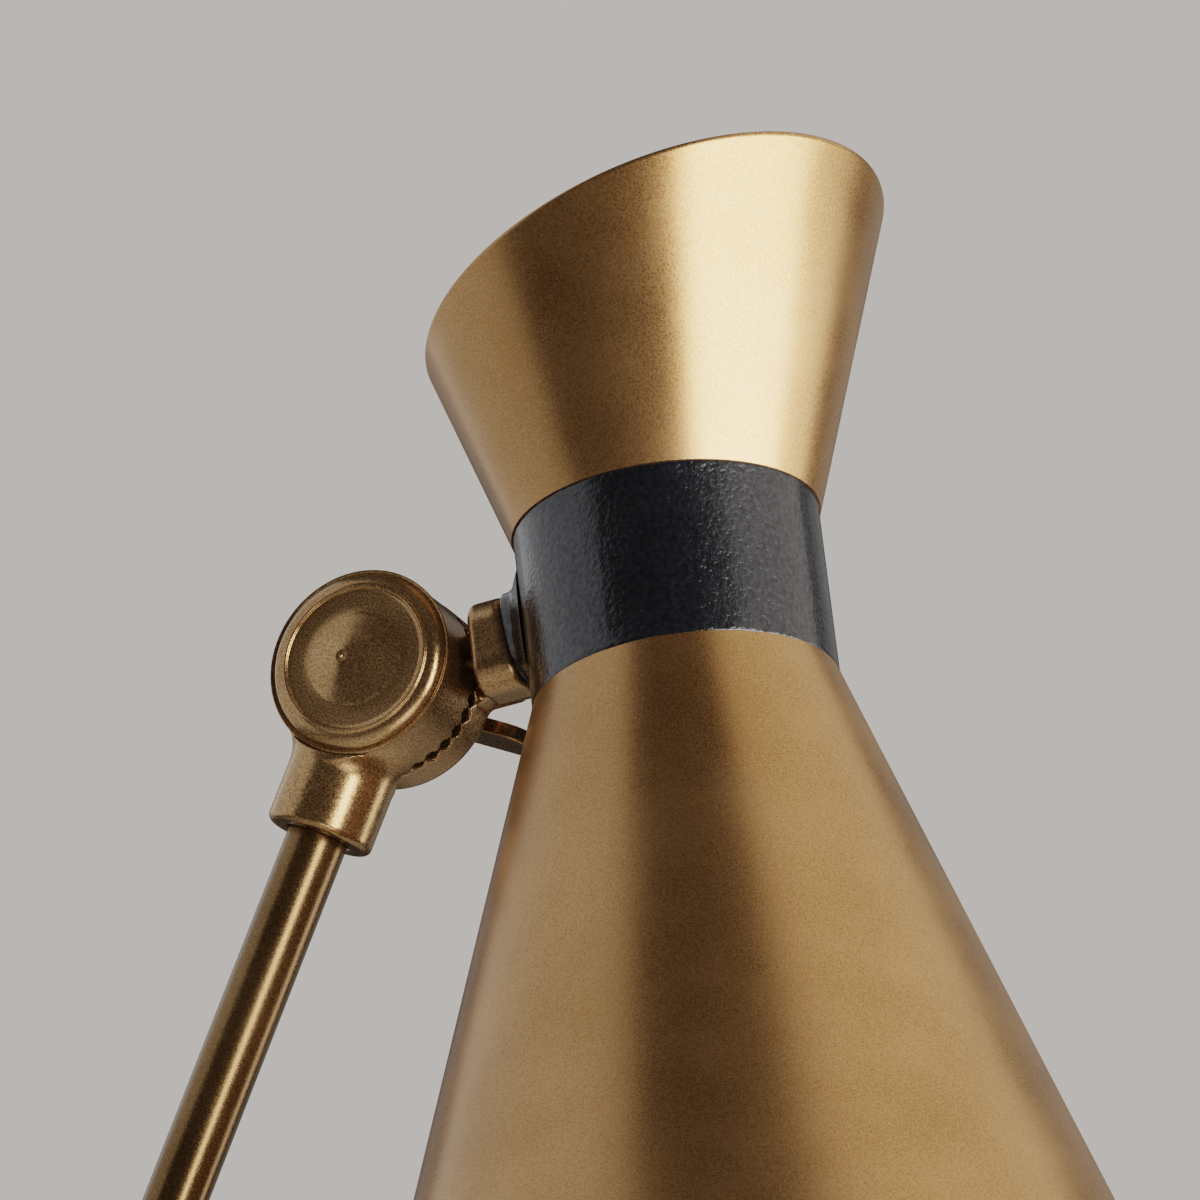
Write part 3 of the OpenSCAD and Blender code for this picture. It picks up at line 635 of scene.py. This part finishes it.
def knuckle_cap():
    """The spun cap, its cone pulled off the middle and swollen a little on the other side."""
    mesh = turned("knuckle_cap_spun", cap_profile(), 256, False)
    for vertex in mesh.vertices:
        at = vertex.co
        radius = math.hypot(at.x, at.y)
        if radius < CONE_R and at.z > 1:
            share = 1 - radius / CONE_R
            at.x += TIP_SHIFT[0] * share
            at.y += TIP_SHIFT[1] * share
            away = math.hypot(at.x - SWELL_AT[0], at.y - SWELL_AT[1]) / SWELL_R
            at.z += SWELL_HEIGHT * math.exp(-away ** 2) * min(1, share * 5)
        at.z += FRONT_DEPTH
    finish_mesh("knuckle_cap_spun", mesh, CAP, "stand", "knuckle_cap", [bronze], 50)


def rear_casting():
    """The tilting half of the knuckle: toothed disc, web and stem. At rest its teeth face the fixed ones."""
    lean = math.degrees(shade_up.angle(mast_up))
    web_from, web_to = 13.0, 27.0
    section_low = (-FAR, STEM_FRONT, -STEM_HALF - 1.5)
    section_high = (FAR, STEM_BACK, STEM_HALF - 0.5)

    def field(x, y, z):
        from_axis = np.sqrt(x ** 2 + z ** 2)
        teeth = SEAM_REAR + TOOTH_DEPTH * (1 - tooth_height(x, z, lean))
        seam = np.where(from_axis > TOOTH_INNER, teeth, SEAM_REAR)
        seam = np.where(from_axis > KNUCKLE_R + 0.2, -FAR, seam)
        disc = np.maximum(rod(from_axis, y, 0, REAR_BACK, KNUCKLE_R, 1.5), (seam - y) * 0.7)
        web = slab(x, y, z, (web_from, SEAM_REAR + 1.5, -WEB_HALF), (web_to, REAR_BACK - 1, WEB_HALF), 1.0)
        # The stem is a long bar, the same at every x, cut square at the disc and to the saddle at the neck.
        bar = slab(0 * x, y, z, section_low, section_high, 6.3)
        end = STEM_END + saddle(z)
        past_ends = np.abs(x - (STEM_START + end) / 2) - (end - STEM_START) / 2
        stem = cut(bar, -past_ends, 1.6)
        body = union(disc, union(web, stem, 1.5), 1.6)
        return cut(body, rod(from_axis, y, -FAR, FAR, BOLT_HOLE_R), 0.2)

    mesh = field_mesh("knuckle_tilting", (-21.5, -9, -21.5), (34.5, 14.5, 21.5), KNUCKLE_VOXEL, field)
    finish_mesh("knuckle_tilting", mesh, HEAD, "head", "knuckle_rear", [bronze], 60)


def wing_nut():
    """The cast wing nut behind the knuckle."""
    top = NUT_Y + EAR_HEIGHT

    def field(x, y, z):
        from_axis = np.sqrt(x ** 2 + z ** 2)
        hub = rod(from_axis, y, NUT_Y, NUT_Y + NUT_HEIGHT, NUT_R, 1.0)
        plate = slab(np.abs(x), y, z, (EAR_START, NUT_Y, -EAR_HALF), (EAR_REACH, top, EAR_HALF), 0)
        outline = slab(np.abs(x), y, z, (EAR_START, NUT_Y, -EAR_WIDTH), (EAR_REACH, top, EAR_WIDTH), 5.2)
        body = union(hub, np.maximum(plate, outline), 2.2)
        return cut(body, rod(from_axis, y, 0, FAR, NUT_BORE), 0.3)

    mesh = field_mesh("wing_nut_cast", (-29, 15, -8.5), (29, 31, 8.5), KNUCKLE_VOXEL, field)
    finish_mesh("wing_nut_cast", mesh, MAST, "wing_nut", "wing_nut", [bronze], 60)


front_casting()
knuckle_cap()
rear_casting()
wing_nut()

# ---- Mast, hub and legs ----


def tube_piece(name, node, origin, up, low, high):
    """A lacquered tube along up, from low to high, with eased ends."""
    side = SIDE if abs(up.dot(SIDE)) < 1e-6 else up.cross(Vector((0, 0, 1))).normalized()
    profile = eased([(TUBE_BORE, low, 0.2), (TUBE_R, low, 0.3), (TUBE_R, (low + high) / 2, 0),
                     (TUBE_R, high, 0.3), (TUBE_BORE, high, 0.2)])
    mesh = turned(name, profile, 128)
    finish_mesh(name, mesh, place(origin, up, side), "stand", node, [mast_brass])


hub_along = (pivot - hub_centre).length / MM
tube_piece("mast_upper_tube", "mast_upper", pivot, mast_up, HUB_WEB - hub_along, MAST_TOP)
leg_dirs = {}
for side_name in ("left", "right"):
    centre = middle("leg_" + side_name)
    down = (centre - hub_centre).normalized()
    leg_dirs[side_name] = down
    leg_end = 2 * (centre - hub_centre).length / MM - LEG_START
    tube_piece("leg_tube_" + side_name, "leg_" + side_name, hub_centre, down, LEG_START, leg_end)


def hub_casting():
    """The enamelled hub: a sleeve on the mast and a boss for each front leg, with soft fillets."""
    coat, fit, fillet, voxel = 0.1, 0.1, 4, 0.55
    bore = TUBE_R + fit

    def about(x, y, z, direction):
        """The distance from an axis through the hub's middle, and along it."""
        along = x * direction.x + y * direction.y + z * direction.z
        return np.sqrt(np.maximum(x ** 2 + y ** 2 + z ** 2 - along ** 2, 0)), along

    def field(x, y, z):
        radial, along = about(x, y, z, mast_up)
        body = rod(radial, along, -HUB_HALF, HUB_HALF, HUB_R - coat, 2.2)
        bosses = [about(x, y, z, direction) for direction in leg_dirs.values()]
        for boss_radial, boss_along in bosses:
            body = union(body, rod(boss_radial, boss_along, 0, BOSS_LEN, BOSS_R - coat, 1.8), fillet)
        for boss_radial, boss_along in bosses:
            body = cut(body, rod(boss_radial, boss_along, LEG_START, FAR, bore), 0.4)
        for low, high in ((HUB_WEB, FAR), (-FAR, -HUB_WEB)):
            body = cut(body, rod(radial, along, low, high, bore), 0.4)
        return body

    margin = Vector((2, 2, 2))
    low, high = [(corner - hub_centre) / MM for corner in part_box("tripod_hub")]
    mesh = field_mesh("hub_cast", tuple(low - margin), tuple(high + margin), voxel, field)
    finish_mesh("hub_cast", mesh, Matrix.Translation(hub_centre), "stand",
                "tripod_hub", [hub_black], 60)


hub_casting()

# ---- Floor, camera and lights ----

FLOOR_HALF = 3.2
FLOOR_GAP = 0.0005

floor_mesh = bpy.data.meshes.new("floor")
floor_mesh.from_pydata([(-FLOOR_HALF, -FLOOR_HALF, 0), (FLOOR_HALF, -FLOOR_HALF, 0),
                        (FLOOR_HALF, FLOOR_HALF, 0), (-FLOOR_HALF, FLOOR_HALF, 0)], [], [(0, 1, 2, 3)])
floor = bpy.data.objects.new("floor", floor_mesh)
floor.location.z = cad_box[0].z - FLOOR_GAP
bpy.context.scene.collection.objects.link(floor)
floor_mesh.materials.append(moulded("floor", (0.55, 0.54, 0.52), roughness=0.7, grain=60, grain_mm=0.1))

# The camera is below the head and to its right, turned to the left and up. Its place is from the pivot.
CAMERA_FROM_PIVOT = Vector((0.71617, -1.57171, -0.65784))
CAMERA_YAW = math.radians(23.0)
CAMERA_PITCH = math.radians(21.358)

across = Vector((math.cos(CAMERA_YAW), math.sin(CAMERA_YAW), 0))
ahead = Vector((-math.sin(CAMERA_YAW) * math.cos(CAMERA_PITCH),
                math.cos(CAMERA_YAW) * math.cos(CAMERA_PITCH), math.sin(CAMERA_PITCH)))
camera_data = bpy.data.cameras.new("camera")
camera_data.lens = 270
camera_data.sensor_width = 36
camera_data.clip_start = 0.01
camera_data.clip_end = 60
camera = bpy.data.objects.new("camera", camera_data)
bpy.context.scene.collection.objects.link(camera)
turn = Matrix((across, across.cross(ahead), -ahead)).transposed().to_4x4()
turn.translation = pivot + CAMERA_FROM_PIVOT
camera.matrix_world = turn
bpy.context.scene.camera = camera

towards_camera = Vector((math.sin(CAMERA_YAW), -math.cos(CAMERA_YAW), 0))
neck_centre = SHADE.translation - shade_up * 0.9 * MM

WARM = (1.0, 0.97, 0.93)
GOLDEN = (1.0, 0.95, 0.86)
COOL = (0.96, 0.98, 1.0)
NEUTRAL = (1.0, 0.98, 0.96)


def softbox(name, azimuth, elevation, distance, size, watts, color):
    """A soft rectangular light that faces the neck. Its azimuth, in degrees, is from the camera's side
    towards the right, and its elevation is above level."""
    data = bpy.data.lights.new(name, "AREA")
    data.shape = "RECTANGLE"
    data.size, data.size_y = size
    data.energy = watts
    data.color = color
    a, e = math.radians(azimuth), math.radians(elevation)
    level = towards_camera * math.cos(a) + across * math.sin(a)
    direction = level * math.cos(e) + Vector((0, 0, math.sin(e)))
    light = bpy.data.objects.new(name, data)
    light.location = neck_centre + direction * distance
    light.rotation_mode = "QUATERNION"
    light.rotation_quaternion = direction.to_track_quat("Z", "Y")
    bpy.context.scene.collection.objects.link(light)


softbox("key_right", azimuth=54, elevation=-4, distance=1.5, size=(1.85, 0.95), watts=52, color=WARM)
softbox("far_right", azimuth=100, elevation=-4, distance=1.5, size=(0.9, 0.95), watts=8, color=WARM)
softbox("top_right", azimuth=82, elevation=48, distance=1.8, size=(2.5, 1.9), watts=12.5, color=GOLDEN)
softbox("left", azimuth=-103, elevation=24, distance=1.6, size=(2.8, 2.3), watts=13.5, color=COOL)
softbox("low_front", azimuth=8, elevation=-38, distance=1.6, size=(0.8, 0.7), watts=3.5, color=WARM)
for rear_name, rear_azimuth in (("rear_right", 150), ("rear_left", -150)):
    softbox(rear_name, rear_azimuth, elevation=15, distance=2.0, size=(1.0, 1.6), watts=1.1, color=NEUTRAL)

world = bpy.data.worlds.new("studio")
bpy.context.scene.world = world
world.use_nodes = True
tree = world.node_tree
rays = tree.nodes.new("ShaderNodeLightPath")


def glow(node, color, strength):
    """Sets a background node to an even light from everywhere."""
    node.inputs["Color"].default_value = (*color, 1)
    node.inputs["Strength"].default_value = strength
    return node.outputs["Background"]


def either(kind_of_ray, others, these):
    """The light `these` for one kind of ray and `others` for the rest."""
    node = tree.nodes.new("ShaderNodeMixShader")
    tree.links.new(rays.outputs[kind_of_ray], node.inputs["Fac"])
    tree.links.new(others, node.inputs[1])
    tree.links.new(these, node.inputs[2])
    return node.outputs["Shader"]


backdrop = glow(tree.nodes["Background"], (0.52, 0.495, 0.47), 1.0)
ambient = glow(tree.nodes.new("ShaderNodeBackground"), (0.9, 0.88, 0.86), 0.035)
fill = glow(tree.nodes.new("ShaderNodeBackground"), (0.97, 0.95, 0.93), 0.36)
unseen = either("Is Diffuse Ray", ambient, fill)
tree.links.new(either("Is Camera Ray", unseen, backdrop), tree.nodes["World Output"].inputs["Surface"])

bpy.context.scene.view_settings.view_transform = "Filmic"
bpy.context.scene.view_settings.look = "Medium High Contrast"
